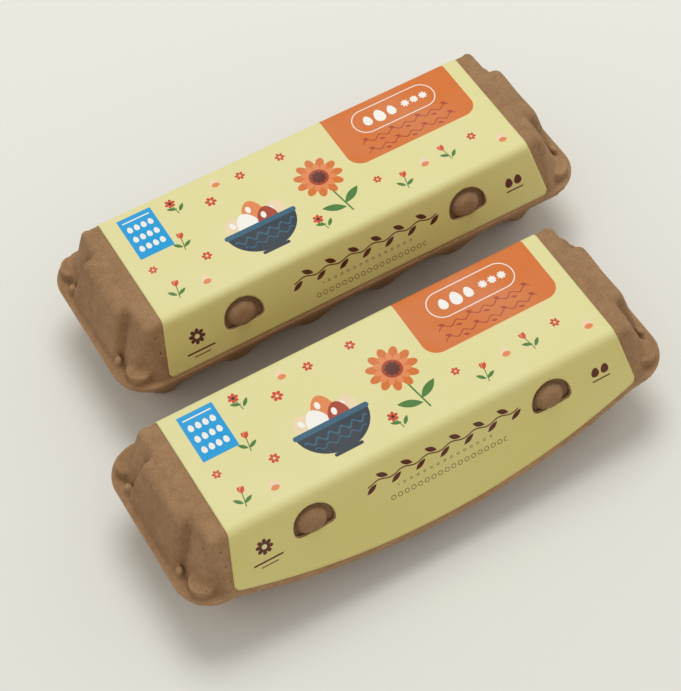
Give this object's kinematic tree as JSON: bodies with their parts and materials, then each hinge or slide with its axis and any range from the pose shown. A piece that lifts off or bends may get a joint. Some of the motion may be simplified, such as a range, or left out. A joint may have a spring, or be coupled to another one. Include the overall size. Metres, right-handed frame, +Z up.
{
  "type": "pair of egg cartons",
  "caption": "Closed moulded-pulp egg cartons side by side; each lid hinges at the back, locks over domed buttons and carries a glued paper label.",
  "frame": {"origin": "middle of the pair on the surface it stands on", "axes": "+Z up, +X along the cartons to the right, -Y towards the fronts with the lock buttons"},
  "size_m": [0.3324, 0.2549, 0.0776],
  "materials": {
    "pulp": "brown moulded paper pulp, matt and finely mottled",
    "label_paper": "pale yellow printed paper, satin"
  },
  "bodies": {
    "trays": {"back_tray": "pulp", "back_lock_flap": "pulp", "front_tray": "pulp", "front_lock_flap": "pulp"},
    "back_cover": {"back_lid": "pulp", "back_label": "label_paper"},
    "front_cover": {"front_lid": "pulp", "front_label": "label_paper"}
  },
  "joints": [
    {"name": "back_lid_hinge", "type": "hinge", "parent": "trays", "child": "back_cover", "pos_m": [0.01615, 0.12745, 0.04115], "axis": [-1, 0, 0], "range_deg": [0, 180]},
    {"name": "front_lid_hinge", "type": "hinge", "parent": "trays", "child": "front_cover", "pos_m": [-0.01615, -0.00755, 0.04115], "axis": [-1, 0, 0], "range_deg": [0, 75]}
  ]
}
